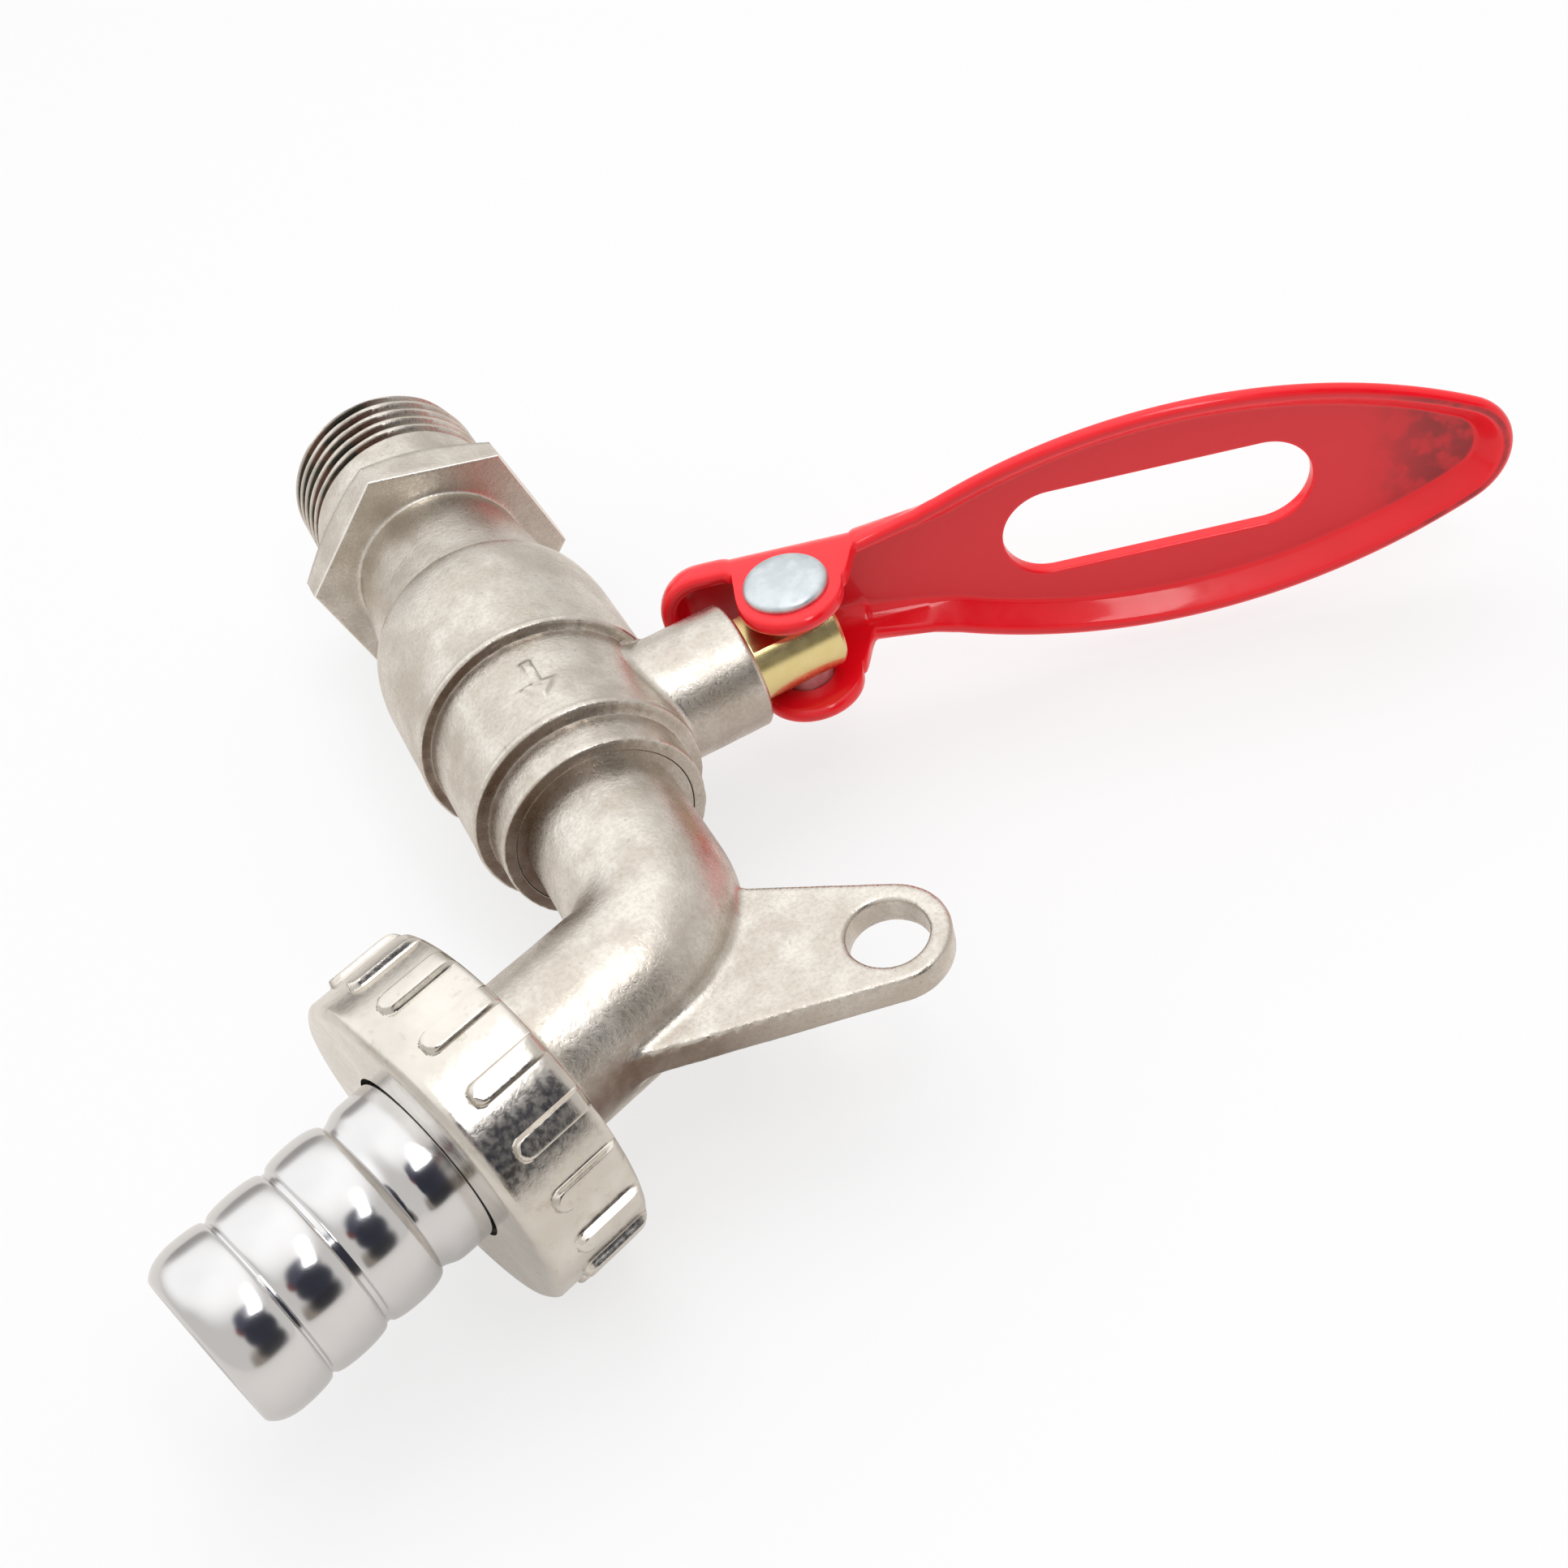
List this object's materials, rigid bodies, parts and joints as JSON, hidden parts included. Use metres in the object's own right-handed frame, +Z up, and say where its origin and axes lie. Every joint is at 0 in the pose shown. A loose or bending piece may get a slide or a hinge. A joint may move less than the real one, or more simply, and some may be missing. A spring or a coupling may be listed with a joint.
{
  "type": "hose tap",
  "caption": "Lockable quarter-turn hose tap: male pipe inlet, ball chamber, fold-down slotted lever over a cast padlock lug, bent spout and union nut with barbed hose tail.",
  "frame": {"origin": "centre of the inlet thread's end face", "axes": "+X along the pipe axis from the inlet to the outlet side, +Z up along the stem, Y across"},
  "size_m": [0.1049, 0.0316, 0.1422],
  "materials": {
    "body_nickel": "satin nickel plate over a shot-blasted brass casting",
    "nut_nickel": "satin nickel plate over turned brass",
    "bright_chrome": "polished chrome plate over turned brass",
    "stem_brass": "turned brass",
    "lever_paint": "gloss red paint on pressed steel sheet",
    "rivet_metal": "bright",
    "seat_plastic": "smooth white seal plastic",
    "seal_rubber": "matt black rubber"
  },
  "bodies": {
    "tap_body": {"valve_body": "body_nickel", "spout_piece": "body_nickel", "inlet_seat": "seat_plastic", "outlet_seat": "seat_plastic"},
    "stem_set": {"stem": "stem_brass", "ball": "bright_chrome", "stem_washer": "seat_plastic", "stem_o_ring_lower": "seal_rubber", "stem_o_ring_upper": "seal_rubber", "handle_rivet": "rivet_metal"},
    "lever": {"handle": "lever_paint"},
    "tail_set": {"hose_tail": "bright_chrome", "hose_washer": "seal_rubber"},
    "nut": {"union_nut": "nut_nickel"}
  },
  "joints": [
    {"name": "stem_turn", "type": "hinge", "parent": "tap_body", "child": "stem_set", "pos_m": [0.0547, 0, 0], "axis": [0, 0, 1], "range_deg": [0, 90]},
    {"name": "handle_fold", "type": "hinge", "parent": "stem_set", "child": "lever", "pos_m": [0.0547, 0, 0.0256], "axis": [0, 1, 0], "range_deg": [0, 114]},
    {"name": "nut_slide", "type": "slide", "parent": "tap_body", "child": "tail_set", "axis": [0.309, 0, -0.9511], "range_m": [0, 0.00363]},
    {"name": "nut_spin", "type": "hinge", "parent": "tail_set", "child": "nut", "pos_m": [0.0822, 0, 0], "axis": [0.309, 0, -0.9511], "range_deg": [0, 720]}
  ],
  "couplings": [
    {"joint": "nut_spin", "follows": "nut_slide", "rad_per_m": 3463.7}
  ]
}
